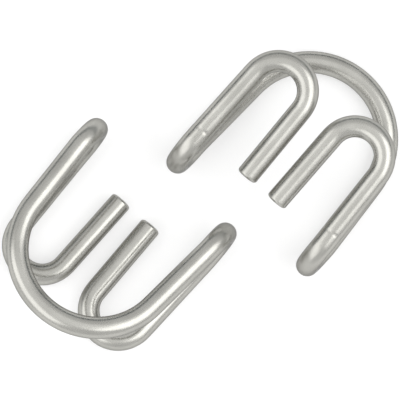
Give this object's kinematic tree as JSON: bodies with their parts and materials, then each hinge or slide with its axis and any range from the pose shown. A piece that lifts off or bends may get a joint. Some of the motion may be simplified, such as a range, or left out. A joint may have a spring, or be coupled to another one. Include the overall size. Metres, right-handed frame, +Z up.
{
  "type": "bent rod disentanglement puzzle",
  "caption": "Steel disentanglement puzzle: two loose bent rods, each a wide bow whose legs fold back into small inward hooks, laid apart, facing each other.",
  "frame": {"origin": "middle of the layout's bounding box, on the table the rods lie on", "axes": "+Z up from the table; +Y is the way the hooks-down rod's bow opens, and the hooks-up rod's bow opens towards -Y; +X is to the right of +Y seen from above, towards the hooks-up rod"},
  "size_m": [0.0604, 0.0915, 0.0256],
  "materials": {
    "rod_steel": "satin"
  },
  "bodies": {
    "hooks_down": {"hooks_down_rod": "rod_steel"},
    "hooks_up": {"hooks_up_rod": "rod_steel"}
  },
  "joints": [
    {"name": "hooks_up_slide", "type": "slide", "parent": "hooks_down", "child": "hooks_up", "axis": [0, 1, 0], "range_m": [-0.012, 0.05]}
  ]
}
